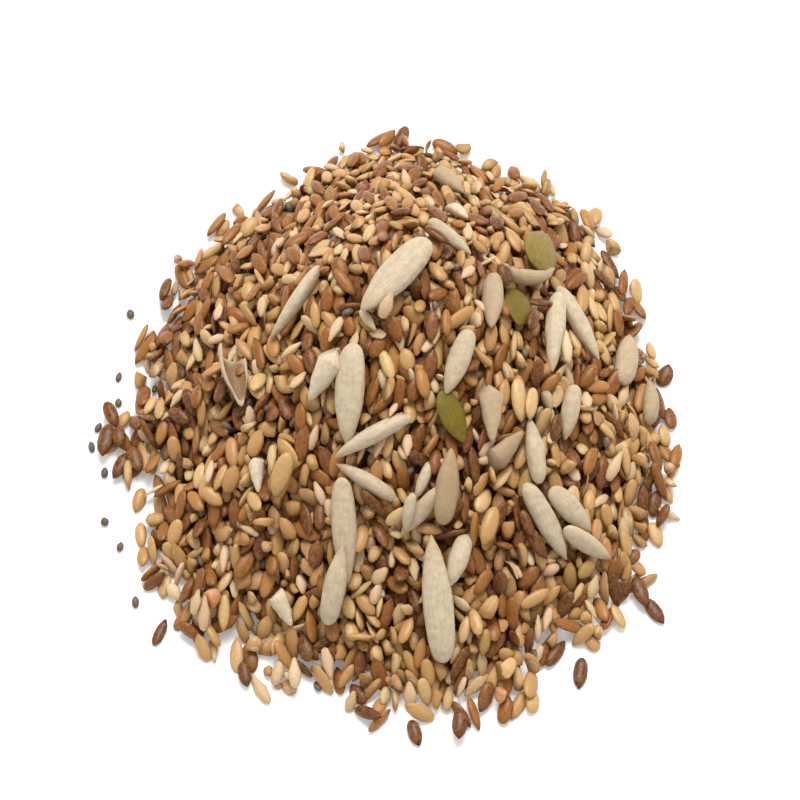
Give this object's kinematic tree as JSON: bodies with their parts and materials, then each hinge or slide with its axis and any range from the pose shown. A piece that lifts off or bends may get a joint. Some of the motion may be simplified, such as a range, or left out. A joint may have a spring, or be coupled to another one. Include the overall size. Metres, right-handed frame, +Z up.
{
  "type": "heap of mixed seeds",
  "caption": "Low rounded heap of loose mixed seeds with an uneven edge: linseeds and sesame between pale sunflower kernels and a few green pumpkin seeds.",
  "frame": {"origin": "middle of the heap's foot, on the surface that it stands on", "axes": "+Z up; the heap is longest along Y, and -Y is its front, the side that the picture is taken from"},
  "size_m": [0.0884, 0.1084, 0.0283],
  "materials": {
    "linseed_brown": "smooth glossy seed coat",
    "linseed_golden": "smooth satin seed coat",
    "hulled_grain": "dry matt",
    "sunflower_kernel": "dry matt, faintly ribbed",
    "pumpkin_seed": "satin, faintly streaked",
    "chia": "smooth mottled",
    "dried_fruit": "dry wrinkled"
  },
  "bodies": {
    "root": {"seed_heap": "linseed_brown"}
  },
  "joints": []
}
